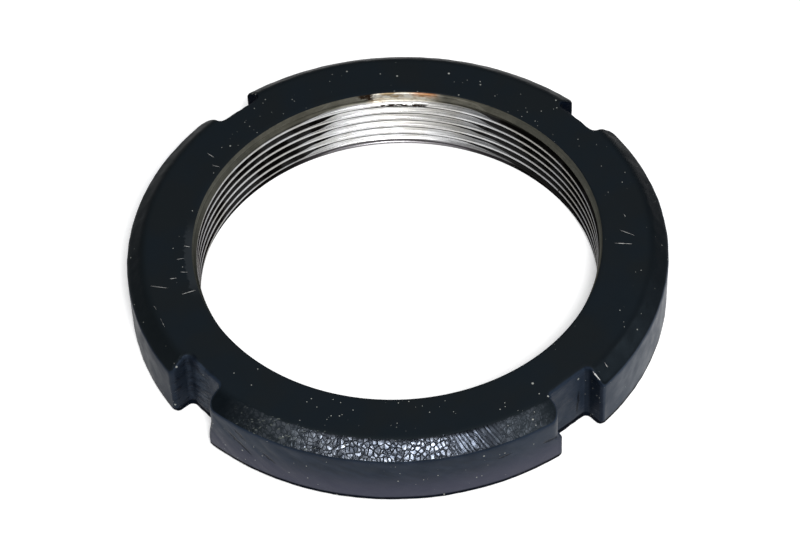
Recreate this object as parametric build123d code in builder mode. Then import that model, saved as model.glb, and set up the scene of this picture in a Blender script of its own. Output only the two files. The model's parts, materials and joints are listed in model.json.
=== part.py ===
import os
from build123d import *

os.makedirs("parts", exist_ok=True)

# Castle nut: a round locking nut with a fine thread and four spanner slots.
# It lies flat on its bearing face, the bore stands along Z, millimetres.

# bore, cut to the minor diameter of the thread; the thread form itself is a surface matter
thread_dia = 80.0          # nominal (root) diameter of the thread
thread_pitch = 2.0
lead_in_height = 2.4       # conical lead-in at both mouths
lead_in_widening = 0.88    # how much the lead-in opens the bore, on the radius
# ring
ring_wall = 12.5           # from the nominal thread diameter out to the rim
thickness = 15.0           # bearing face to upper face
# rim edges
top_chamfer_radial = 3.15
top_chamfer_axial = 2.6
bottom_chamfer = 1.2
# spanner slots
slot_count = 4
slot_width = 10.0
slot_depth = 4.5
slot_lip_round = 1.3       # where the slot walls meet the rim
slot_root_round = 2.2      # where the slot walls meet the slot floor
slot_edge_round = 0.8      # where the slot meets the upper face

thread_r = thread_dia / 2
minor_r = thread_r - 0.54127 * thread_pitch
mouth_r = minor_r + lead_in_widening
outer_r = thread_r + ring_wall
slot_floor_r = outer_r - slot_depth


def from_axis(thing):
    """Distance of the middle of an edge, or of a corner, from the bore axis."""
    middle = thing.center()
    return (middle.X ** 2 + middle.Y ** 2) ** 0.5


def beside_slot(edge):
    """How far the middle of an edge lies sideways from the nearest slot's centre line."""
    middle = edge.center()
    return min(abs(middle.X), abs(middle.Y))


with BuildPart() as castle_nut:
    # turned ring: half section swept about Z
    with BuildSketch(Plane.XZ):
        with BuildLine():
            Polyline(
                (mouth_r, 0),
                (outer_r - bottom_chamfer, 0),
                (outer_r, bottom_chamfer),
                (outer_r, thickness - top_chamfer_axial),
                (outer_r - top_chamfer_radial, thickness),
                (mouth_r, thickness),
                (minor_r, thickness - lead_in_height),
                (minor_r, lead_in_height),
                close=True,
            )
        make_face()
    revolve(axis=Axis.Z)

    # plan outline with the spanner slots, milled straight through from face to face
    with BuildSketch(Plane.XY) as outline:
        Circle(outer_r)
        with PolarLocations(outer_r, slot_count):
            Rectangle(2 * slot_depth, slot_width, mode=Mode.SUBTRACT)
        corners = outline.vertices()
        fillet([v for v in corners if from_axis(v) < outer_r - 1], slot_root_round)
        corners = outline.vertices()
        fillet([v for v in corners if from_axis(v) > outer_r - 0.1], slot_lip_round)
    extrude(amount=thickness, mode=Mode.INTERSECT)

    # soft upper edges of the slots: the smooth chain along each slot's floor, walls and lips
    upper_edges = castle_nut.edges().filter_by(
        lambda e: e.center().Z > thickness - top_chamfer_axial - slot_edge_round
        and from_axis(e) > slot_floor_r - 0.5
        and beside_slot(e) < slot_width / 2 + slot_lip_round
        and e.length < slot_width
    )
    fillet(upper_edges, slot_edge_round)

castle_nut.part.label = "castle_nut"
export_step(castle_nut.part, "parts/castle_nut.step")
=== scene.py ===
"""Castle nut: a round locking nut, satin blackened steel outside and bare machined steel in the bore.

Lengths named below are millimetres in the nut's own frame: bore along Z, bearing face at Z = 0.
"""
import json
import math
from types import SimpleNamespace

import bmesh
import bpy
from mathutils import Matrix, Quaternion, Vector, noise


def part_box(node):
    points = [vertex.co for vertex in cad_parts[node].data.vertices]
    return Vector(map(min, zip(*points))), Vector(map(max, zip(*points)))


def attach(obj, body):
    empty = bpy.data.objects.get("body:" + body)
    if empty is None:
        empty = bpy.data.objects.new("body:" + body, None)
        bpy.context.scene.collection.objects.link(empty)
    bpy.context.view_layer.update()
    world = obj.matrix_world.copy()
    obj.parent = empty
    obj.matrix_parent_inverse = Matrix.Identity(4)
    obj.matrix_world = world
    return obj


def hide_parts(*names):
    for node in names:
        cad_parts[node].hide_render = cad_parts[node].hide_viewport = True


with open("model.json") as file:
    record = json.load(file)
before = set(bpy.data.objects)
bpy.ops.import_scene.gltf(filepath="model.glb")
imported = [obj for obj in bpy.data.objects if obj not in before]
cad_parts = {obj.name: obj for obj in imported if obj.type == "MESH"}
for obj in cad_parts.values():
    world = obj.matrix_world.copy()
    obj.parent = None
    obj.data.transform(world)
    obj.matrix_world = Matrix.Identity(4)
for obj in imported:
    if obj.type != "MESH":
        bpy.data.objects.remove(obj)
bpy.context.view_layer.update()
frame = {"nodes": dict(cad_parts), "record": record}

MM = 0.001

# ---------------------------------------------------------------- sizes taken from the frame
nut_node = frame["nodes"]["castle_nut"]
node_low, node_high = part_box("castle_nut")
mounts = {m["name"]: m for m in frame["record"]["mounts"]}

THICKNESS = (node_high.z - node_low.z) / MM
OUTER_R = max(math.hypot(v.co.x, v.co.y) for v in nut_node.data.vertices) / MM
MINOR_R = mounts["thread"]["dims"]["r_mm"]
LEAD_IN = (THICKNESS - mounts["thread"]["dims"]["length_mm"]) / 2

# ---------------------------------------------------------------- sizes of the nut's own detail
PITCH = 2.0
THREAD_PHASE = 0.9                # share of a pitch by which the thread is turned on
THREAD_DEPTH = 0.54127 * PITCH
MAJOR_R = MINOR_R + THREAD_DEPTH
MOUTH_R = 39.7                    # lead-in at the faces
MOUTH_BREAK = 0.15                # tiny chamfer that breaks the mouth's edge
CHAMFER_RUN, CHAMFER_DROP = 3.15, 2.6
BREAK_R = OUTER_R - CHAMFER_RUN   # where the flat upper face turns down into the rim chamfer
CHAMFER_START = (BREAK_R - 1.25, BREAK_R + 0.75)     # radii over which the chamfer's skin fades in
SHOULDER = 0.8                    # how far the upper face rolls over, either side of BREAK_R
BOTTOM_CHAMFER = 1.2
SLOT_WIDTH = 10.0
SLOT_FLOOR_R = 48.0
ROOT_ROUND = 1.0
SLOT_TOP_ROUND, RIM_TOP_ROUND = 0.9, 0.45
SLOT_LOW_ROUND, RIM_LOW_ROUND = 1.15, 0.35
TOP_FLATNESS, LOW_FLATNESS = 0.8, 0.9      # height of those rounds as a share of how far they reach in
EDGE_TO_WALL = 30                 # degrees round the upper edge at which the wall's skin begins
# Rounding of the eight slot lips, anticlockwise from +X: worn above the ledge, still crisp below it.
WORN_LIPS = (1.2, 0.5, 1.9, 1.0, 2.0, 2.3, 0.9, 1.9)
CRISP_LIP = 0.9
# Heights from which and up to which each lip turns from crisp to worn: one has a sharp ledge.
SLOW_LEDGE, SHARP_LEDGE = (3.0, 9.0), (6.4, 6.9)
LEDGES = [SLOW_LEDGE] * 5 + [SHARP_LEDGE] + [SLOW_LEDGE] * 2
LEDGE_WAVER = 0.5                 # how far a ledge wanders up and down
STEP_OUT = 0.12                   # how far the foot of a worn lip stands proud of the wall above it

# Depths of the forging's roughness
SKIN_CELLS, FRONT_SKIN_CELLS, SKIN_WAVE = 0.03, 0.12, 0.05
WALL_DRAG, WALL_WAVE = 0.05, 0.05
SLOT_TEARS = 0.12
FINE_WAVE = 0.02
FACE_SKIN = 0.05                  # below this height nothing is roughened, so the bearing face is flat

# Land between the slots at -X and -Y, where the skin is roughest: an arc in radians from +X, given as
# where it starts, where it is full from and to, and where it has ended. All arcs below are written so.
FRONT_LAND = (-3.02, -2.57, -1.79, -1.67)

# ---------------------------------------------------------------- mesh density
RIM_COLUMNS = 960
BORE_COLUMNS = 320
FLOOR_COLS, ROOT_COLS, WALL_COLS, LIP_COLS = 9, 7, 6, 12
OCTANT = RIM_COLUMNS // 8
FACE_START_R = MAJOR_R + 0.12
SHARP_EDGE = 32                   # degrees between faces from which an edge is shaded sharp


# ================================================================ turning

def turn_section(bm, section, columns, rise=0.0):
    """Sweeps an open section once round Z: one quarter is spun, then copied three times and joined."""
    edges = [bm.edges.new(pair) for pair in zip(section, section[1:])]
    bmesh.ops.spin(bm, geom=section + edges, cent=(0, 0, 0), axis=(0, 0, 1), angle=math.pi / 2,
                   dvec=(0, 0, rise / columns), steps=columns // 4, use_merge=False,
                   use_duplicate=False)
    quarter = bm.verts[:] + bm.edges[:] + bm.faces[:]
    for turn in (1, 2, 3):
        copy = bmesh.ops.duplicate(bm, geom=quarter)["geom"]
        moved = [item for item in copy if isinstance(item, bmesh.types.BMVert)]
        bmesh.ops.rotate(bm, verts=moved, cent=(0, 0, 0),
                         matrix=Matrix.Rotation(turn * math.pi / 2, 3, "Z"))
        bmesh.ops.translate(bm, verts=moved, vec=(0, 0, turn * rise / 4))
    bmesh.ops.remove_doubles(bm, verts=bm.verts, dist=0.002)


def step(low, high, value):
    """0 below low, 1 above high, smooth between."""
    t = min(1.0, max(0.0, (value - low) / (high - low)))
    return t * t * (3 - 2 * t)


def on_arc(arc, value):
    """1 from the second to the third value of the arc, 0 beyond its first and last."""
    return step(arc[0], arc[1], value) * (1 - step(arc[2], arc[3], value))


def grain(x, y, z, per_mm):
    return noise.noise(Vector((x, y, z)) * per_mm)


# ================================================================ nut body

def octant_outline(lip_round):
    """Plan outline from a slot's centre line (+X) to 45 degrees: x, y, outward normal, share of slot."""
    half = SLOT_WIDTH / 2
    points = []
    for k in range(FLOOR_COLS):
        points.append((SLOT_FLOOR_R, (half - ROOT_ROUND) * k / FLOOR_COLS, 1.0, 0.0, 1.0))
    for k in range(ROOT_COLS):
        a = math.radians(180 - 90 * k / ROOT_COLS)
        c, s = math.cos(a), math.sin(a)
        points.append((SLOT_FLOOR_R + ROOT_ROUND * (1 + c), half - ROOT_ROUND * (1 - s), -c, -s, 1.0))
    lip_x = math.sqrt((OUTER_R - lip_round) ** 2 - (half + lip_round) ** 2)
    wall_start = SLOT_FLOOR_R + ROOT_ROUND
    for k in range(WALL_COLS):
        points.append((wall_start + (lip_x - wall_start) * k / WALL_COLS, half, 0.0, -1.0, 1.0))
    lip_end = math.atan2(half + lip_round, lip_x)
    for k in range(LIP_COLS):
        a = -math.pi / 2 + (lip_end + math.pi / 2) * k / LIP_COLS
        c, s = math.cos(a), math.sin(a)
        points.append((lip_x + lip_round * c, half + lip_round * (1 + s), c, s, 1 - k / LIP_COLS))
    rim_cols = OCTANT - len(points)
    for k in range(rim_cols + 1):
        a = lip_end + (math.pi / 4 - lip_end) * k / rim_cols
        c, s = math.cos(a), math.sin(a)
        points.append((OUTER_R * c, OUTER_R * s, c, s, 0.0))
    return points


def full_outline(lip_rounds):
    """The outline once round, octant by octant; every second octant is a mirror of the first."""
    full = []
    for octant, lip_round in enumerate(lip_rounds):
        points = octant_outline(lip_round)
        if octant % 2:
            points = [(y, x, ny, nx, slot) for x, y, nx, ny, slot in reversed(points)]
        turn = octant // 2 * math.pi / 2
        c, s = round(math.cos(turn)), round(math.sin(turn))
        full += [(x * c - y * s, x * s + y * c, nx * c - ny * s, nx * s + ny * c, slot)
                 for x, y, nx, ny, slot in points[:-1]]
    return full


worn_outline = full_outline(WORN_LIPS)
crisp_outline = full_outline([CRISP_LIP] * 8)


def outline_at(column, z):
    """Outline point of a column at a height: the worn lips have a crisp foot below the ledge."""
    worn, crisp = worn_outline[column], crisp_outline[column]
    angle = math.atan2(worn[1], worn[0])
    ledge_drop = LEDGE_WAVER * grain(angle * 9, 3.1, 0, 1.0)
    low, high = LEDGES[column // OCTANT]
    above = step(low + ledge_drop, high + ledge_drop, z)
    x, y, nx, ny, slot = (c + (w - c) * above for w, c in zip(worn, crisp))
    length = math.hypot(nx, ny)
    return x, y, nx / length, ny / length, slot


def upper_height(r):
    """Height of the upper face and of the rim chamfer, with a smooth roll-over between them."""
    slope = CHAMFER_DROP / CHAMFER_RUN
    past = r - BREAK_R
    if past <= -SHOULDER:
        return THICKNESS
    if past >= SHOULDER:
        return THICKNESS - past * slope
    return THICKNESS - slope * (past + SHOULDER) ** 2 / (4 * SHOULDER)


def lower_height(r):
    """Height of the bearing face and of the small chamfer round it."""
    return max(0.0, r - (OUTER_R - BOTTOM_CHAMFER))


def spread(start, end, count):
    return [start + (end - start) * k / count for k in range(count)]


def body_rows():
    """Section of the ring from the upper bore mouth round the rim to the lower mouth, as (kind, value)."""
    inner_rim = OUTER_R - SLOT_TOP_ROUND
    rows = [("upper", r) for r in
            [FACE_START_R, FACE_START_R + 0.5] + spread(FACE_START_R + 1.5, BREAK_R - 2.0, 5)
            + spread(BREAK_R - 2.0, BREAK_R, 5) + spread(BREAK_R, inner_rim, 8)]
    rows += [("upper_edge", a) for a in (0, 22, 45, 68)]
    rows += [("wall", k / 15) for k in range(16)]
    rows += [("lower_edge", a) for a in (68, 45, 22, 0)]
    low_rim = OUTER_R - BOTTOM_CHAMFER
    rows += [("lower", r) for r in (low_rim + 0.3, low_rim + 0.08, low_rim - 0.08,
                                    low_rim - 0.3, 50.0, 47.0, 44.0, 41.5, FACE_START_R)]
    return rows


def face_point(column, r, inset, row_end, break_r, height, z):
    """A point of the upper or lower face: r is its radius on the full rim, squeezed where a slot is."""
    x, y, nx, ny, _ = outline_at(column, z)
    rim = Vector((x - nx * inset, y - ny * inset))
    angle = 2 * math.pi * column / RIM_COLUMNS
    mouth = Vector((math.cos(angle), math.sin(angle))) * FACE_START_R
    local_break = min(break_r, rim.length - 0.4)
    if r <= break_r:
        squeeze = (local_break - FACE_START_R) / (break_r - FACE_START_R)
        local_r = FACE_START_R + (r - FACE_START_R) * squeeze
    else:
        local_r = local_break + (r - break_r) * (rim.length - local_break) / (row_end - break_r)
    share = (local_r - FACE_START_R) / (rim.length - FACE_START_R)
    point = mouth.lerp(rim, share)
    point *= local_r / point.length
    return Vector((point.x, point.y, height(local_r)))


def body_point(kind, value, column):
    """Where the vertex of one row and column of the body goes, before the forging's roughness."""
    slot = worn_outline[column][4]
    top_round = RIM_TOP_ROUND + (SLOT_TOP_ROUND - RIM_TOP_ROUND) * slot
    low_round = RIM_LOW_ROUND + (SLOT_LOW_ROUND - RIM_LOW_ROUND) * slot
    if kind == "upper":
        return face_point(column, value, top_round, OUTER_R - SLOT_TOP_ROUND, BREAK_R, upper_height,
                          THICKNESS)
    low_rim = OUTER_R - BOTTOM_CHAMFER
    if kind == "lower":
        return face_point(column, value, low_round, OUTER_R, low_rim, lower_height, 0)
    x, y, nx, ny, _ = outline_at(column, THICKNESS)
    top = upper_height(math.hypot(x, y)) - top_round * TOP_FLATNESS
    foot_x, foot_y = crisp_outline[column][:2]
    bottom = lower_height(math.hypot(foot_x, foot_y)) + low_round * LOW_FLATNESS
    if kind == "wall":
        z = top + (bottom - top) * value
        x, y, nx, ny, slot_here = outline_at(column, z)
        low, high = LEDGES[column // OCTANT]
        proud = STEP_OUT * (1 - step(low, high, z)) * slot_here * (1 - slot_here) * 4
        return Vector((x + nx * proud, y + ny * proud, z))
    a = math.radians(value)
    if kind == "upper_edge":
        inset = top_round * (1 - math.sin(a))
        drop = top_round * TOP_FLATNESS * (1 - math.cos(a))
        px, py = x - nx * inset, y - ny * inset
        return Vector((px, py, upper_height(math.hypot(px, py)) - drop))
    x, y, nx, ny, _ = outline_at(column, 0)
    inset = low_round * (1 - math.sin(a))
    rise = low_round * LOW_FLATNESS * (1 - math.cos(a))
    px, py = x - nx * inset, y - ny * inset
    return Vector((px, py, lower_height(math.hypot(px, py)) + rise))


def roughen(point, chamfer, wall, slot):
    """Forged skin: leathery cells on the chamfer, slanting drag marks on the wall, torn slot floors."""
    x, y, z = point
    r = math.hypot(x, y)
    angle = math.atan2(y, x)
    arc = angle * OUTER_R
    push = 0.0
    if chamfer > 0:
        near, second = noise.voronoi(Vector((x, y, z)) * 0.85)[0][:2]
        plateau = min(0.5, second - near)
        depth = SKIN_CELLS + FRONT_SKIN_CELLS * on_arc(FRONT_LAND, angle)
        push += chamfer * (depth * (plateau - 0.3) + SKIN_WAVE * grain(x, y, z, 0.5))
    if wall > 0:
        drag = noise.noise(Vector(((arc + 1.2 * z) * 0.25, (z - 0.45 * arc) * 1.1, 7.0)))
        push += wall * (WALL_DRAG * drag + WALL_WAVE * grain(x, y, z, 0.22))
    if slot > 0:
        tear = noise.noise(Vector(((x + y + z) * 0.3, (z * 1.3 - 0.8 * (x - y)) * 0.9, 2.0)))
        push += slot * SLOT_TEARS * tear
    push += FINE_WAVE * grain(x, y, z, 0.35)
    if z > THICKNESS - 0.01 or z < FACE_SKIN:
        return Vector((x, y, z))
    share = push / r
    return Vector((x + x * share, y + y * share, min(THICKNESS, z + 0.6 * chamfer * push)))


def make_body():
    """Ring body with slots, open at both bore mouths."""
    rows = body_rows()
    bm = bmesh.new()
    row_of = bm.verts.layers.int.new("row")
    masks = {name: bm.verts.layers.float.new(name) for name in ("chamfer", "wall", "slot")}
    section = []
    for k in range(len(rows)):
        # a rough round section is enough: every vertex is put in its place below
        a = math.pi * (0.5 - k / (len(rows) - 1))
        vert = bm.verts.new((FACE_START_R + 10 * math.cos(a), 0, THICKNESS / 2 + 8 * math.sin(a)))
        vert[row_of] = k
        section.append(vert)
    turn_section(bm, section, RIM_COLUMNS)
    for vert in bm.verts:
        column = round(math.atan2(vert.co.y, vert.co.x) / (2 * math.pi) * RIM_COLUMNS) % RIM_COLUMNS
        kind, value = rows[vert[row_of]]
        point = body_point(kind, value, column)
        r = math.hypot(point.x, point.y)
        in_slot = worn_outline[column][4]
        side = kind in ("wall", "lower_edge") or kind == "upper_edge" and value > EDGE_TO_WALL
        chamfer = 0.0 if side or kind == "lower" else step(*CHAMFER_START, r)
        wall = 1.0 if side else 0.0
        slot = in_slot if side or kind == "upper_edge" else 0.0
        vert.co = roughen(point, chamfer, wall, slot)
        vert[masks["chamfer"]] = chamfer
        vert[masks["wall"]] = wall
        vert[masks["slot"]] = slot
    return bm


# ================================================================ threaded bore

def thread_profile():
    """Radii over one pitch from crest to crest, as (share of the pitch, radius)."""
    half_crest, flank, crest_round = 1 / 8, 5 / 16, 0.03
    half = [
        (0.0, MINOR_R),
        (half_crest - crest_round, MINOR_R),
        (half_crest, MINOR_R + 0.02),
        (half_crest + crest_round, MINOR_R + 0.09),
        (half_crest + flank / 2, MINOR_R + THREAD_DEPTH / 2),
        (half_crest + flank, MAJOR_R - 0.02),
    ]
    return half + [(0.5, MAJOR_R)] + [(1 - share, r) for share, r in reversed(half[1:])]


def bore_radius(r, z):
    """The thread, opened by the conical lead-in at both mouths."""
    depth = min(z, THICKNESS - z)
    cone = MOUTH_R - (MOUTH_R - MINOR_R) * (depth - MOUTH_BREAK) / (LEAD_IN - MOUTH_BREAK)
    return max(r, cone)


def make_bore():
    """Right-hand thread swept up a helix, trimmed flush with both faces."""
    bm = bmesh.new()
    turns = math.ceil(THICKNESS / PITCH) + 3
    section = []
    for turn in range(-2, turns - 1):
        for share, r in thread_profile():
            section.append(bm.verts.new((r, 0, (turn + share + THREAD_PHASE) * PITCH)))
    turn_section(bm, section, BORE_COLUMNS, rise=PITCH)
    for height, normal in ((THICKNESS - MOUTH_BREAK, 1), (MOUTH_BREAK, -1)):
        everything = bm.verts[:] + bm.edges[:] + bm.faces[:]
        bmesh.ops.bisect_plane(bm, geom=everything, dist=0.0005, plane_co=(0, 0, height),
                               plane_no=(0, 0, normal), clear_outer=True, clear_inner=False)
    for vert in bm.verts:
        r = math.hypot(vert.co.x, vert.co.y)
        scale = bore_radius(r, vert.co.z) / r
        vert.co.x *= scale
        vert.co.y *= scale
    return bm


def make_nut():
    """Joins body and bore into one closed mesh."""
    body, bore = make_body(), make_bore()
    part = bpy.data.meshes.new("bore part")
    bore.to_mesh(part)
    for face in body.faces:
        face.material_index = 0
    before = set(body.faces)
    body.from_mesh(part)
    bpy.data.meshes.remove(part)
    for face in body.faces:
        if face not in before:
            face.material_index = 1
    for height in (THICKNESS, 0):
        rim_edges = [e for e in body.edges if e.is_boundary
                     and all(abs(v.co.z - height) < 2 * MOUTH_BREAK for v in e.verts)]
        bmesh.ops.bridge_loops(body, edges=rim_edges)
    bmesh.ops.recalc_face_normals(body, faces=body.faces)
    for face in body.faces:
        face.smooth = True
    bmesh.ops.scale(body, vec=(MM, MM, MM), verts=body.verts)
    mesh = bpy.data.meshes.new("castle_nut_visual")
    body.to_mesh(mesh)
    body.free()
    bore.free()
    mesh.set_sharp_from_angle(angle=math.radians(SHARP_EDGE))
    nut = bpy.data.objects.new("castle_nut_visual", mesh)
    bpy.context.scene.collection.objects.link(nut)
    return nut


# ================================================================ shader nodes in short

def add(tree, kind, inputs=(), **settings):
    """One node: settings are set first, then each input gets a value or a link."""
    made = tree.nodes.new(kind)
    for name, value in settings.items():
        setattr(made, name, value)
    for key, value in dict(inputs).items():
        if isinstance(value, bpy.types.NodeSocket):
            tree.links.new(value, made.inputs[key])
        else:
            made.inputs[key].default_value = value
    return made


def calc(tree, operation, a, b=0.0):
    return add(tree, "ShaderNodeMath", {0: a, 1: b}, operation=operation).outputs[0]


def vector(tree, operation, a, b):
    made = add(tree, "ShaderNodeVectorMath", {0: a, 1: b}, operation=operation)
    return made.outputs["Value" if operation in ("DOT_PRODUCT", "LENGTH") else "Vector"]


def scaled(tree, place, scale):
    made = add(tree, "ShaderNodeVectorMath", {0: place, "Scale": scale}, operation="SCALE")
    return made.outputs["Vector"]


def chained(tree, operation, values):
    result = values[0]
    for value in values[1:]:
        result = calc(tree, operation, result, value)
    return result


def times(tree, *values):
    return chained(tree, "MULTIPLY", values)


def plus(tree, *values):
    return chained(tree, "ADD", values)


def strongest(tree, *masks):
    return chained(tree, "MAXIMUM", masks)


def outside(tree, mask):
    return calc(tree, "SUBTRACT", 1.0, mask)


def between(tree, value, low, high, start=0.0, end=1.0):
    """Smoothly maps low..high to start..end."""
    return add(tree, "ShaderNodeMapRange", {0: value, 1: low, 2: high, 3: start, 4: end},
               interpolation_type="SMOOTHSTEP").outputs[0]


def within(tree, value, arc):
    """The same as on_arc, in shader nodes."""
    start, full_from, full_to, end = arc
    return times(tree, between(tree, value, start, full_from), between(tree, value, end, full_to))


def blend(tree, share, first, second):
    mix = add(tree, "ShaderNodeMix", {0: share, 6: first, 7: second}, data_type="RGBA")
    return mix.outputs[2]


def layered(tree, base, *layers):
    """Lays colours over a base in turn, each as (mask, its strength, colour)."""
    for mask, strength, colour in layers:
        base = blend(tree, times(tree, mask, strength), base, colour)
    return base


def combine(tree, x, y, z):
    return add(tree, "ShaderNodeCombineXYZ", {0: x, 1: y, 2: z}).outputs[0]


def stretch(tree, place, turn, scale):
    """Turns a place about its third axis by degrees, then scales it per axis."""
    turned = add(tree, "ShaderNodeMapping", {"Vector": place, "Rotation": (0, 0, math.radians(turn))})
    return vector(tree, "MULTIPLY", turned.outputs[0], scale)


def cloud(tree, place, per_mm, detail=2.0, rough=0.5):
    return add(tree, "ShaderNodeTexNoise", {"Vector": place, "Scale": per_mm, "Detail": detail,
                                            "Roughness": rough}).outputs["Fac"]


def cells(tree, place, per_mm, feature="F1"):
    made = add(tree, "ShaderNodeTexVoronoi", {"Vector": place, "Scale": per_mm}, feature=feature)
    return made.outputs


# ================================================================ effects, as node groups

def new_effect(name, inputs, outputs):
    """An empty node group with named inputs, each as (name, kind, value), and float outputs."""
    group = bpy.data.node_groups.new(name, "ShaderNodeTree")
    for label, kind, value in inputs:
        socket = group.interface.new_socket(label, in_out="INPUT", socket_type="NodeSocket" + kind)
        socket.default_value = value
    for label in outputs:
        group.interface.new_socket(label, in_out="OUTPUT", socket_type="NodeSocketFloat")
    given = group.nodes.new("NodeGroupInput").outputs
    return group, given, group.nodes.new("NodeGroupOutput").inputs


def use(tree, group, **given):
    """Outputs of a group placed in a tree; Per_mm stands for its input Per mm."""
    made = tree.nodes.new("ShaderNodeGroup")
    made.node_tree = group
    for name, value in given.items():
        socket = made.inputs[name.replace("_", " ")]
        if isinstance(value, bpy.types.NodeSocket):
            tree.links.new(value, socket)
        else:
            socket.default_value = value
    return made.outputs


def leaning_tops(tree, out, plateau, slope, tilt):
    """Height and Gap of raised tops, each leaning by its own slope."""
    lean = times(tree, slope, tilt, plateau)
    tree.links.new(plus(tree, plateau, lean), out["Height"])
    tree.links.new(outside(tree, plateau), out["Gap"])


def pebbles_effect():
    """Raised cells parted by thin crevices, each cell's top leaning its own way."""
    tree, given, out = new_effect("pebbles", [("Place", "Vector", (0, 0, 0)), ("Per mm", "Float", 1.0),
                                              ("Tilt", "Float", 0.5)], ["Height", "Gap"])
    place, per_mm = given["Place"], given["Per mm"]
    plateau = between(tree, cells(tree, place, per_mm, "DISTANCE_TO_EDGE")["Distance"], 0.0, 0.16)
    cell = cells(tree, place, per_mm)
    from_middle = vector(tree, "SUBTRACT", scaled(tree, place, per_mm),
                         scaled(tree, cell["Position"], per_mm))
    own_way = vector(tree, "SUBTRACT", cell["Color"], (0.5, 0.5, 0.5))
    slope = vector(tree, "DOT_PRODUCT", from_middle, own_way)
    leaning_tops(tree, out, plateau, slope, given["Tilt"])
    return tree


def bars_effect():
    """Raised bars side by side along the first axis, parted by gaps, each bar leaning its own way."""
    tree, given, out = new_effect("bars", [("Place", "Vector", (0, 0, 0)), ("Per mm", "Float", 1.0),
                                           ("Tilt", "Float", 0.5)], ["Height", "Gap"])
    first = add(tree, "ShaderNodeSeparateXYZ", {0: given["Place"]}).outputs[0]
    sway = times(tree, cloud(tree, given["Place"], 0.9, 2.0), 1.6)
    count = plus(tree, times(tree, first, given["Per mm"]), sway)
    across = calc(tree, "SUBTRACT", calc(tree, "FRACT", count), 0.5)
    plateau = between(tree, calc(tree, "ABSOLUTE", across), 0.42, 0.24)
    own_way = add(tree, "ShaderNodeTexWhiteNoise", {"W": calc(tree, "FLOOR", count)},
                  noise_dimensions="1D").outputs["Value"]
    slope = times(tree, across, calc(tree, "SUBTRACT", own_way, 0.5))
    leaning_tops(tree, out, plateau, slope, given["Tilt"])
    return tree


def specks_effect():
    """Small separate dots, each with its own size, gathered where a slow cloud is dense."""
    tree, given, out = new_effect("specks", [("Place", "Vector", (0, 0, 0)), ("Per mm", "Float", 1.0),
                                             ("Size", "Float", 0.2), ("Share", "Float", 0.1)], ["Mask"])
    dots = cells(tree, given["Place"], given["Per mm"])
    own = add(tree, "ShaderNodeSeparateColor", {0: dots["Color"]}).outputs
    gathered = between(tree, cloud(tree, given["Place"], 0.09, 1.0), 0.35, 0.7, 0.15, 2.0)
    chosen = calc(tree, "LESS_THAN", own[0], times(tree, given["Share"], gathered))
    size = times(tree, given["Size"], plus(tree, own[1], 0.25))
    inside = outside(tree, calc(tree, "DIVIDE", dots["Distance"], size))
    tree.links.new(times(tree, between(tree, inside, 0.0, 0.4), chosen), out["Mask"])
    return tree


def scratch_effect():
    """One scratch from Start to End, tapering at both ends and a little ragged."""
    tree, given, out = new_effect("scratch", [("Place", "Vector", (0, 0, 0)),
                                              ("Start", "Vector", (0, 0, 0)), ("End", "Vector", (1, 0, 0)),
                                              ("Width", "Float", 0.15)], ["Mask"])
    run = vector(tree, "SUBTRACT", given["End"], given["Start"])
    away = vector(tree, "SUBTRACT", given["Place"], given["Start"])
    along = calc(tree, "DIVIDE", vector(tree, "DOT_PRODUCT", away, run),
                 vector(tree, "DOT_PRODUCT", run, run))
    along = add(tree, "ShaderNodeClamp", {0: along}).outputs[0]
    off_line = vector(tree, "SUBTRACT", away, scaled(tree, run, along))
    distance = vector(tree, "LENGTH", off_line, (0, 0, 0))
    taper = times(tree, along, outside(tree, along), 3.2)
    ragged = between(tree, cloud(tree, given["Place"], 1.6, 2.0), 0.3, 0.6, 0.35, 1.0)
    width = times(tree, given["Width"], plus(tree, taper, 0.2), ragged)
    inside = outside(tree, calc(tree, "DIVIDE", distance, width))
    tree.links.new(between(tree, inside, 0.0, 0.35), out["Mask"])
    return tree


pebbles = pebbles_effect()
bars = bars_effect()
specks = specks_effect()
scratch = scratch_effect()


def scratches(tree, place, marks):
    """One mask for a list of scratches."""
    return strongest(tree, *[use(tree, scratch, Place=place, Start=start, End=end, Width=width)["Mask"]
                             for start, end, width in marks])


def surface(tree):
    """Where a point of the nut lies: place, axes and radius in millimetres, angle in radians from +X."""
    place = scaled(tree, add(tree, "ShaderNodeTexCoord").outputs["Object"], 1 / MM)
    x, y, z = add(tree, "ShaderNodeSeparateXYZ", {0: place}).outputs
    angle = calc(tree, "ARCTAN2", y, x)
    radius = calc(tree, "SQRT", plus(tree, times(tree, x, x), times(tree, y, y)))
    return SimpleNamespace(place=place, x=x, y=y, z=z, angle=angle, radius=radius)


def new_finish(name, tint):
    """A material with the low, grey edge reflection of both finishes."""
    mat = bpy.data.materials.new(name)
    mat.use_nodes = True
    shader = mat.node_tree.nodes["Principled BSDF"]
    shader.inputs["Specular IOR Level"].default_value = 0.15
    shader.inputs["Specular Tint"].default_value = (tint, tint, tint, 1)
    return mat, mat.node_tree, shader


def bump_in_mm(tree, shader, relief):
    bump = add(tree, "ShaderNodeBump", {"Height": relief, "Strength": 1.0, "Distance": MM})
    tree.links.new(bump.outputs[0], shader.inputs["Normal"])


# ================================================================ black finish

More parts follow.
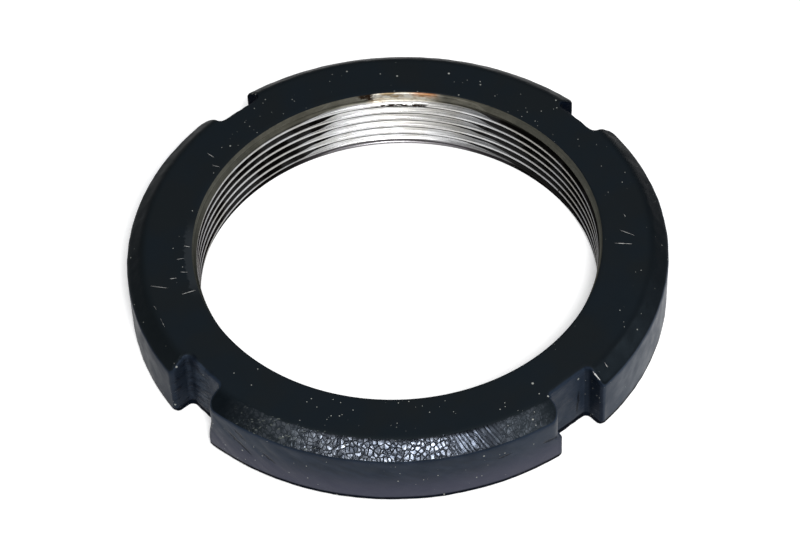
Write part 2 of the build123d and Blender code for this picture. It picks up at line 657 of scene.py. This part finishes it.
# Colours (linear) of the upper face, the rim wall, the chamfer and what lies on them
FACE_BLUE, FACE_BROWN = (0.0084, 0.0124, 0.0164, 1), (0.0096, 0.0124, 0.0145, 1)
WALL_DEEP, WALL_SLATE = (0.0085, 0.0140, 0.0240, 1), (0.0135, 0.0205, 0.0350, 1)
# painted light on the rim wall: paler sides, a lit right side and a lighter low front
WALL_PALER, WALL_RIGHT = (0.018, 0.028, 0.046, 1), (0.030, 0.042, 0.062, 1)
# WALL_FOOT paints a contact shadow along the foot of the wall
WALL_LOW, WALL_FOOT = (0.041, 0.043, 0.065, 1), (0.001, 0.001, 0.001, 1)
WALL_IN_SHADE = (0.0030, 0.0060, 0.0120, 1)
TORN_BLACK, CRACK_BLACK = (0.002, 0.004, 0.009, 1), (0.002, 0.004, 0.008, 1)
CHAMFER_DULL, CHAMFER_LEFT = (0.0072, 0.0108, 0.0142, 1), (0.0130, 0.0175, 0.0205, 1)
# painted light: the dull chamfer is lighter on the front land, which faces the lamp
CHAMFER_FRONT = (0.0235, 0.0300, 0.0340, 1)
# the skin's pale and brightest colours are bare-metal base colours that paint the glint of the front lamp
SKIN_DARK, SKIN_PALE = (0.050, 0.058, 0.074, 1), (0.155, 0.172, 0.206, 1)
SKIN_BRIGHT, SKIN_GAP = (0.30, 0.33, 0.38, 1), (0.005, 0.007, 0.011, 1)
SMUDGE_GREY, FUZZ_GREY = (0.030, 0.035, 0.040, 1), (0.19, 0.21, 0.19, 1)
DUST_GREY, BARE_STEEL = (0.42, 0.43, 0.40, 1), (0.62, 0.62, 0.6, 1)

# Arcs round the nut
# arc facing the front lamp, where the chamfer's skin is painted as glinting bare metal
RUBBED_SKIN = (-2.72, -2.52, -2.02, -1.84)
BARRED_SKIN = (-2.12, -2.06, -1.93, -1.88)
FRONT_WALL_MIDDLE = (-2.85, -2.6, -2.05, -1.75)
LEFT_LAND = (1.60, 1.65, 3.05, 3.10)
BACK_LAND = (-0.35, -0.25, 2.0, 2.1)
SMUDGE = (2.25, 2.4, 2.66, 2.78)
FUZZ = (-2.95, -2.85, -2.5, -2.3)

SHADED_SIDE = (4.1, 4.5, 5.2, 5.5)         # along X: the dark side wall of the slot at -Y

# Scratches through the black finish: start, end (mm) and width
SCRATCHES = (
    ((5.0, -48.6, 15.0), (5.4, -51.3, 13.1), 0.21),
    ((8.2, -49.2, 14.6), (8.2, -50.4, 13.7), 0.11),
    ((-50.0, 4.8, 14.3), (-48.2, 4.9, 15.0), 0.16),
    ((-38.7, 21.9, 15.0), (-37.6, 21.2, 15.0), 0.09),
    ((-39.4, 17.3, 15.0), (-36.8, 16.3, 15.0), 0.09),
    ((-45.0, 19.8, 15.0), (-45.4, 17.4, 15.0), 0.06),
    ((-46.1, 15.7, 15.0), (-47.2, 12.4, 15.0), 0.05),
    ((-42.6, 23.1, 15.0), (-40.4, 20.3, 15.0), 0.05),
    ((-12.5, 42.9, 15.0), (-12.3, 41.0, 15.0), 0.06),
    ((-31.4, 26.7, 15.0), (-30.7, 25.7, 15.0), 0.07),
    ((4.4, 48.4, 15.0), (5.2, 48.4, 15.0), 0.16),
    ((33.1, -27.7, 15.0), (34.2, -30.6, 15.0), 0.06),
    ((30.0, -29.4, 15.0), (32.3, -31.8, 15.0), 0.10),
    ((-34.6, 24.9, 15.0), (-33.4, 24.2, 15.0), 0.05),
    ((-36.2, 22.0, 15.0), (-35.1, 20.9, 15.0), 0.05),
    ((-13.9, 39.6, 15.0), (-13.1, 38.3, 15.0), 0.05),
    ((36.6, -25.2, 15.0), (36.3, -26.0, 15.0), 0.06),
)
# Dark tears, cracks and the parting line on slots and wall: start, end (mm) and width
CRACKS = (
    ((-9.5, -51.6, 7.8), (-7.0, -52.0, 7.6), 0.5),
    ((-7.4, -52.0, 7.5), (-5.3, -52.2, 7.3), 0.5),
    ((-51.5, -10.2, 9.5), (-50.1, -15.7, 5.6), 0.55),
    ((-51.1, -11.9, 11.2), (-50.4, -14.6, 9.2), 0.45),
    ((-49.4, -17.9, 8.0), (-48.3, -20.5, 6.0), 0.45),
    ((-18.9, -49.0, 8.7), (-16.0, -50.0, 9.0), 0.3),
    ((2.9, -48.0, 9.4), (2.5, -48.0, 3.2), 0.42),
)


def mask_surfaces(tree, on):
    """Masks of chamfer, wall and slots, of the leathery skin with its painted glint and of the walls in
    shade.
    """
    on.chamfer, on.wall, on.slot = (add(tree, "ShaderNodeAttribute", attribute_name=name).outputs["Fac"]
                                    for name in ("chamfer", "wall", "slot"))
    on.front_land = within(tree, on.angle, FRONT_LAND)
    on.left_land = within(tree, on.angle, LEFT_LAND)
    on.barred = within(tree, on.angle, BARRED_SKIN)
    fray = times(tree, cloud(tree, on.place, 1.1, 3.0, 0.6), 0.7)
    frayed = between(tree, plus(tree, on.chamfer, fray), 0.74, 0.92)
    rubbed = plus(tree, times(tree, within(tree, on.angle, RUBBED_SKIN), 0.72),
                  times(tree, on.front_land, 0.28))
    on.leathery = times(tree, frayed, rubbed)
    on.dull_chamfer = times(tree, on.chamfer, outside(tree, on.leathery))
    # painted contact shadow: the lowest 2 mm of the wall turn near black and count as wall in shade
    on.foot = between(tree, on.z, 2.2, 1.75)
    shaded_side = times(tree, within(tree, on.x, SHADED_SIDE), between(tree, on.y, -46.0, -47.0))
    shade = strongest(tree, within(tree, on.angle, BACK_LAND), times(tree, shaded_side, 0.6), on.foot,
                      times(tree, on.left_land, 0.5))
    on.shade = times(tree, on.wall, shade)


def mask_skin(tree, on):
    """Height and gaps of the chamfer's skin: pebbles, and slanting bars at one end of the front land."""
    on.wandering = vector(tree, "ADD", on.place, cloud(tree, on.place, 0.6, 2.0))
    unrolled = combine(tree, on.arc, times(tree, on.z, 1.6), 0.0)
    slant = stretch(tree, unrolled, -28, (1.0, 0.3, 1.0))
    pebbled = use(tree, pebbles, Place=on.wandering, Per_mm=1.1, Tilt=1.3)
    striped = use(tree, bars, Place=slant, Per_mm=1.35, Tilt=1.6)
    on.skin, on.gap = (plus(tree, times(tree, pebbled[name], outside(tree, on.barred)),
                            times(tree, striped[name], on.barred)) for name in ("Height", "Gap"))


def mask_marks(tree, on):
    """Tears of the slot floors, smudge, dust, fuzz, bare scratches and dark cracks."""
    across_slot = combine(tree, calc(tree, "SUBTRACT", on.x, on.y), on.z, 0.0)
    tears = cloud(tree, stretch(tree, across_slot, -14, (0.28, 1.0, 1.0)), 0.8, 4.0, 0.65)
    most_torn = times(tree, between(tree, on.x, -46.6, -47.0), between(tree, on.y, -2.5, 0.0))
    on.torn = times(tree, on.slot, between(tree, tears, 0.45, 0.62),
                    plus(tree, times(tree, most_torn, 0.56), 0.12))

    wander = times(tree, cloud(tree, on.place, 0.9, 3.0, 0.6), 2.4)
    from_mouth = calc(tree, "SUBTRACT", calc(tree, "SUBTRACT", on.radius, MOUTH_R), wander)
    on.smudge = times(tree, between(tree, from_mouth, 0.4, 0.0), within(tree, on.angle, SMUDGE))
    on.dust = strongest(tree, use(tree, specks, Place=on.place, Per_mm=0.75, Size=0.17, Share=0.09)[0],
                        use(tree, specks, Place=on.place, Per_mm=1.8, Size=0.22, Share=0.05)[0])
    fuzz_place = stretch(tree, on.wandering, 30, (0.45, 1.5, 1.0))
    fuzz = use(tree, specks, Place=fuzz_place, Per_mm=1.7, Size=0.34, Share=0.8)[0]
    on.fuzz = times(tree, fuzz, within(tree, on.angle, FUZZ), between(tree, on.chamfer, 0.05, 0.3))
    on.bare = scratches(tree, on.place, SCRATCHES)
    on.cracked = scratches(tree, on.place, CRACKS)


def black_colour(tree, on):
    patches = between(tree, cloud(tree, on.place, 0.07, 3.0), 0.38, 0.62)
    face = blend(tree, patches, FACE_BLUE, FACE_BROWN)
    bloom = cloud(tree, stretch(tree, on.unrolled, 20, (0.5, 1.6, 1.0)), 0.35, 3.0)
    wall = blend(tree, between(tree, bloom, 0.35, 0.7), WALL_DEEP, WALL_SLATE)
    # painted light: the wall is paler outside its front middle, paler still on the right towards the right
    # lamp, and lighter low down from the front round to the left
    low_wall = times(tree, between(tree, on.z, 9.5, 2.5), between(tree, on.angle, -1.4, -1.7),
                     outside(tree, on.slot))
    wall = layered(tree, wall,
                   (outside(tree, within(tree, on.angle, FRONT_WALL_MIDDLE)), 0.5, WALL_PALER),
                   (between(tree, on.angle, -1.5, -1.35), 0.7, WALL_RIGHT),
                   (low_wall, 1.0, WALL_LOW),
                   (on.foot, 1.0, WALL_FOOT))

    tone = between(tree, cloud(tree, on.place, 0.9, 3.0, 0.6), 0.36, 0.62)
    # painted highlight: the skin is paler still at one end of the front land
    bright_end = times(tree, tone, between(tree, on.angle, -2.38, -2.58))
    # painted shade: the crevices between the skin's cells are near black
    skin = layered(tree, blend(tree, tone, SKIN_DARK, SKIN_PALE),
                   (bright_end, 0.7, SKIN_BRIGHT),
                   (on.barred, 0.9, SKIN_DARK),
                   (on.gap, plus(tree, times(tree, tone, 0.5), 0.4), SKIN_GAP))
    return layered(tree, blend(tree, on.wall, face, wall),
                   (on.torn, 1.0, TORN_BLACK),
                   (on.dull_chamfer, 1.0, CHAMFER_DULL),
                   (on.dull_chamfer, on.left_land, CHAMFER_LEFT),
                   (on.dull_chamfer, on.front_land, CHAMFER_FRONT),
                   (on.shade, 1.0, WALL_IN_SHADE),
                   (on.leathery, 1.0, skin),
                   (on.smudge, 0.6, SMUDGE_GREY),
                   (on.fuzz, 0.5, FUZZ_GREY),
                   (on.dust, 0.8, DUST_GREY),
                   (on.cracked, 0.85, CRACK_BLACK),
                   (on.bare, 0.75, BARE_STEEL))


def black_relief(tree, on):
    """Relief in millimetres: leathery skin, drag marks on the wall, torn slots, orange peel and cuts."""
    skin = plus(tree, on.skin, times(tree, cloud(tree, on.place, 2.4, 3.0, 0.6), 0.35))
    drag = cloud(tree, stretch(tree, on.unrolled, 40, (0.3, 0.9, 1.0)), 0.32, 1.5, 0.5)
    drag_depth = plus(tree, times(tree, between(tree, on.angle, -2.55, -2.8), 0.30), 0.08)
    orange_peel = cloud(tree, on.place, 1.8, 3.0, 0.6)
    return plus(tree, times(tree, skin, 0.13, on.leathery), times(tree, drag, on.wall, drag_depth),
                times(tree, on.torn, on.slot, 0.16), times(tree, orange_peel, 0.012),
                times(tree, on.bare, -0.05), times(tree, on.cracked, -0.12))


def blackened_steel():
    """Forged steel under a thin black finish: dark flat face, leathery chamfer with a painted glint, slate
    wall.
    """
    mat, tree, shader = new_finish("blackened steel", 0.4)
    on = surface(tree)
    on.arc = times(tree, on.angle, OUTER_R)
    on.unrolled = combine(tree, on.arc, on.z, 0.0)
    mask_surfaces(tree, on)
    mask_skin(tree, on)
    mask_marks(tree, on)
    tree.links.new(black_colour(tree, on), shader.inputs["Base Color"])
    # the leathery skin towards the front lamp is dark bare metal whose pale base colours paint its glint;
    # dull chamfers and walls in shade are partly so
    bare_metal = strongest(tree, on.leathery, times(tree, on.dull_chamfer, 0.6), times(tree, on.shade, 0.9))
    tree.links.new(bare_metal, shader.inputs["Metallic"])
    smear = between(tree, cloud(tree, on.place, 0.3, 4.0), 0.3, 0.7)
    rough = plus(tree, times(tree, smear, 0.12), 0.36, times(tree, on.leathery, -0.04),
                 times(tree, on.slot, 0.1), times(tree, on.dust, 0.25))
    tree.links.new(rough, shader.inputs["Roughness"])
    bump_in_mm(tree, shader, black_relief(tree, on))
    return mat


# ================================================================ bare steel of the bore

STEEL_GREY, STEEL_BRIGHT = (0.56, 0.56, 0.56, 1), (0.82, 0.82, 0.83, 1)
# the darker steels for the right side, the clogged sides, the left side and the roots are partly painted
# shade on the bore's sides
STEEL_RIGHT, STEEL_CLOGGED = (0.20, 0.20, 0.205, 1), (0.25, 0.25, 0.26, 1)
STEEL_WORN, STEEL_STAINED = (0.20, 0.185, 0.20, 1), (0.33, 0.30, 0.23, 1)
GRIME_BLACK = (0.0045, 0.0040, 0.0038, 1)
# painted shade at the bore's foot by the floor, black where the thread is clogged
FOOT_GREY, FOOT_BLACK = (0.13, 0.12, 0.13, 1), (0.008, 0.007, 0.007, 1)
KHAKI_DARK, KHAKI_PALE = (0.140, 0.135, 0.108, 1), (0.205, 0.196, 0.160, 1)
# the side and left khaki tones are painted shade on the lead-in's sides
KHAKI_SIDE, KHAKI_LEFT = (0.112, 0.117, 0.104, 1), (0.040, 0.043, 0.038, 1)
# painted highlight of the lamp on the upper lead-in, streaked from brownish to pale cream
CREAM_DARK, CREAM_PALE = (0.42, 0.31, 0.18, 1), (0.90, 0.86, 0.76, 1)
RUST_ORANGE = (0.60, 0.24, 0.07, 1)
SPOT_BROWN, PIT_BROWN = (0.014, 0.007, 0.003, 1), (0.03, 0.025, 0.02, 1)

# the cleanest direction is opposite the camera, where the thread is painted lightest
CLEAN_MIDDLE = 0.88               # direction of the cleanest part of the thread, radians from +X
# arc opposite the camera, where the upper lead-in faces the lamp and gets a painted highlight
BRIGHT_MOUTH = (0.60, 0.72, 0.95, 1.02)
RUSTY_MOUTH = (0.62, 0.68, 0.74, 0.80)
BLOT = (0.94, 0.99, 1.03, 1.08)
DOTS = (0.66, 0.72, 0.95, 1.0)
DOTS_HEIGHT = (11.5, 11.9, 12.2, 12.6)


def mask_grime(tree, on):
    """Darkens the thread far more at its two sides than at the clean middle: grime, and painted shade
    growing away from the middle opposite the camera.
    """
    off_middle = calc(tree, "ABSOLUTE", calc(tree, "SUBTRACT", on.angle, CLEAN_MIDDLE))
    off_middle = calc(tree, "MINIMUM", off_middle, calc(tree, "SUBTRACT", 2 * math.pi, off_middle))
    wander = times(tree, calc(tree, "SUBTRACT", cloud(tree, on.place, 0.06, 2.0), 0.5), 0.5)
    off_middle = plus(tree, off_middle, wander)
    # painted shade: the thread darkens from the middle opposite the camera towards both sides, more on the
    # right and the left, partly standing for grime
    on.side = between(tree, off_middle, 0.12, 1.25)
    clogged = calc(tree, "SUBTRACT", off_middle, between(tree, on.angle, 0.9, -0.2, 0.0, 0.2))
    on.clogged = between(tree, clogged, 0.26, 0.52)
    on.right_side = times(tree, on.side, between(tree, on.angle, 0.9, -0.2))
    on.worn_side = between(tree, on.angle, 2.0, 2.45)
    on.stain = between(tree, cloud(tree, on.place, 0.12, 4.0, 0.6), 0.42, 0.6)
    clean_depth = between(tree, on.clogged, 0.0, 1.0, 0.74, 0.0)
    depth = calc(tree, "SUBTRACT", calc(tree, "SUBTRACT", on.radius, MINOR_R), clean_depth)
    on.grime = times(tree, between(tree, depth, 0.0, 0.12), between(tree, on.stain, 0.0, 1.0, 0.95, 1.0))


def mask_mouth(tree, on):
    """Lead-ins, with the painted highlight and the rust on part of the upper one, its torn, brown-black
    spots, and painted shade at the foot.
    """
    on.lead_in = between(tree, on.z, THICKNESS - LEAD_IN - 0.1, THICKNESS - LEAD_IN + 0.25)
    # painted shade: the lower lead-in and the foot of the bore by the floor are darkened
    on.foot = between(tree, on.z, LEAD_IN + 0.1, LEAD_IN - 0.5)
    on.bright_mouth = within(tree, on.angle, BRIGHT_MOUTH)
    on.rust = times(tree, within(tree, on.angle, RUSTY_MOUTH),
                    between(tree, on.z, THICKNESS - 1.2, THICKNESS - 0.5))
    ragged = cloud(tree, stretch(tree, on.place, 0, (0.8, 0.8, 1.3)), 0.9, 3.0, 0.7)
    blot = times(tree, within(tree, on.angle, BLOT),
                 between(tree, on.z, THICKNESS - 2.0, THICKNESS - 1.3), between(tree, ragged, 0.42, 0.47))
    dots = times(tree, within(tree, on.angle, DOTS), within(tree, on.z, DOTS_HEIGHT),
                 between(tree, ragged, 0.47, 0.53))
    on.spots = strongest(tree, blot, dots)
    on.pits = use(tree, specks, Place=on.place, Per_mm=0.7, Size=0.22, Share=0.05)["Mask"]
    on.loose_dirt = strongest(tree, on.spots, on.pits)


def bore_colour(tree, on):
    steel = layered(tree, blend(tree, on.streaks, STEEL_GREY, STEEL_BRIGHT),
                    (on.right_side, 0.8, STEEL_RIGHT),
                    (on.clogged, 0.35, STEEL_CLOGGED),
                    (on.worn_side, 0.75, STEEL_WORN),
                    (on.stain, 0.35, STEEL_STAINED),
                    (on.grime, 1.0, GRIME_BLACK),
                    (on.foot, 0.85, blend(tree, on.clogged, FOOT_GREY, FOOT_BLACK)))
    # painted highlight on the upper lead-in opposite the camera
    scraped = cloud(tree, stretch(tree, on.place, 0, (0.6, 0.6, 2.0)), 0.8, 4.0, 0.65)
    cream = blend(tree, between(tree, scraped, 0.36, 0.56), CREAM_DARK, CREAM_PALE)
    mottle = between(tree, cloud(tree, on.place, 0.3, 4.0, 0.6), 0.35, 0.65)
    khaki = layered(tree, blend(tree, mottle, KHAKI_DARK, KHAKI_PALE),
                    (on.side, 0.6, KHAKI_SIDE),
                    (between(tree, on.angle, 2.15, 2.65), 0.92, KHAKI_LEFT),
                    (on.bright_mouth, 0.85, cream),
                    (on.rust, 0.6, RUST_ORANGE))
    return layered(tree, blend(tree, on.lead_in, steel, khaki),
                   (on.spots, 1.0, SPOT_BROWN),
                   (on.pits, 1.0, PIT_BROWN))


def machined_steel():
    """Bare steel of the threaded bore: bright crests, roots dark with grime and painted shade, olive stain
    on the lead-in.
    """
    mat, tree, shader = new_finish("machined steel", 0.5)
    on = surface(tree)
    mask_grime(tree, on)
    mask_mouth(tree, on)
    rings = combine(tree, times(tree, on.x, 0.05), times(tree, on.y, 0.05), times(tree, on.z, 9.0))
    turned = cloud(tree, rings, 1.0, 3.0, 0.6)
    on.streaks = between(tree, turned, 0.3, 0.7)
    tree.links.new(bore_colour(tree, on), shader.inputs["Base Color"])
    tree.links.new(between(tree, on.loose_dirt, 0.2, 0.8, 1.0, 0.0), shader.inputs["Metallic"])
    rough = plus(tree, between(tree, on.streaks, 0.0, 1.0, 0.34, 0.24), times(tree, on.lead_in, 0.1),
                 times(tree, strongest(tree, on.grime, on.loose_dirt), 0.55))
    tree.links.new(rough, shader.inputs["Roughness"])
    bump_in_mm(tree, shader, plus(tree, times(tree, turned, 0.03), times(tree, on.loose_dirt, -0.05)))
    return mat


nut = make_nut()
nut.data.materials.append(blackened_steel())
nut.data.materials.append(machined_steel())
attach(nut, "root")
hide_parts("castle_nut")


# ================================================================ floor, light, camera (metres)

FLOOR_GREY = 0.85
FLOOR_GLOW = 0.4                  # lifts the floor to white where it is seen, directly or reflected
VIEW_AZIMUTH, VIEW_ELEVATION = -39.46, 48.62
CAMERA_DISTANCE = 0.5918
CAMERA_AIM = (0, 0, 8.1 * MM)
CAMERA_ROLL = -0.045
# Name, azimuth, elevation, distance, size and power
LAMPS = (
    ("lamp over the front", VIEW_AZIMUTH + 6, 52, 1.0, 0.22, 9.5),
    ("lamp right", VIEW_AZIMUTH + 95, 32, 1.0, 0.5, 2.3),
)


def white_paper():
    mat = bpy.data.materials.new("white paper")
    mat.use_nodes = True
    tree = mat.node_tree
    shader = tree.nodes["Principled BSDF"]
    shader.inputs["Base Color"].default_value = (FLOOR_GREY, FLOOR_GREY, FLOOR_GREY, 1)
    shader.inputs["Roughness"].default_value = 0.9
    shader.inputs["Emission Color"].default_value = (1, 1, 1, 1)
    ray = add(tree, "ShaderNodeLightPath").outputs
    seen = strongest(tree, ray["Is Camera Ray"], ray["Is Glossy Ray"], ray["Is Transmission Ray"])
    tree.links.new(times(tree, seen, FLOOR_GLOW), shader.inputs["Emission Strength"])
    return mat


def make_floor():
    mesh = bpy.data.meshes.new("floor")
    bm = bmesh.new()
    bmesh.ops.create_grid(bm, x_segments=1, y_segments=1, size=3.0)
    bm.to_mesh(mesh)
    bm.free()
    mesh.materials.append(white_paper())
    floor = bpy.data.objects.new("floor", mesh)
    bpy.context.scene.collection.objects.link(floor)


def make_world():
    world = bpy.data.worlds.new("studio")
    bpy.context.scene.world = world
    world.use_nodes = True
    sky = world.node_tree.nodes["Background"].inputs
    sky["Color"].default_value = (0.9, 0.95, 1.0, 1)
    sky["Strength"].default_value = 0.12


def direction(azimuth, elevation):
    """Unit vector from the nut towards the camera or a lamp, in degrees. Azimuth 0 is at -Y."""
    a, e = math.radians(azimuth), math.radians(elevation)
    return Vector((math.sin(a) * math.cos(e), -math.cos(a) * math.cos(e), math.sin(e)))


def make_lamp(name, azimuth, elevation, distance, size, power):
    light = bpy.data.lights.new(name, "AREA")
    light.shape = "DISK"
    light.size = size
    light.energy = power
    lamp = bpy.data.objects.new(name, light)
    bpy.context.scene.collection.objects.link(lamp)
    away = direction(azimuth, elevation)
    lamp.location = away * distance
    lamp.rotation_mode = "QUATERNION"
    lamp.rotation_quaternion = (-away).to_track_quat("-Z", "Y")


def make_camera():
    data = bpy.data.cameras.new("camera")
    data.sensor_width = 36.0
    data.lens = 136.55
    data.shift_x, data.shift_y = 0.0026, -0.0189
    data.clip_start, data.clip_end = 0.01, 20
    camera = bpy.data.objects.new("camera", data)
    bpy.context.scene.collection.objects.link(camera)
    away = direction(VIEW_AZIMUTH, VIEW_ELEVATION)
    camera.location = Vector(CAMERA_AIM) + away * CAMERA_DISTANCE
    camera.rotation_mode = "QUATERNION"
    camera.rotation_quaternion = (-away).to_track_quat("-Z", "Y") @ Quaternion((0, 0, 1), CAMERA_ROLL)
    bpy.context.scene.camera = camera


make_floor()
make_world()
for lamp_sizes in LAMPS:
    make_lamp(*lamp_sizes)
make_camera()
bpy.context.scene.view_settings.view_transform = "Standard"
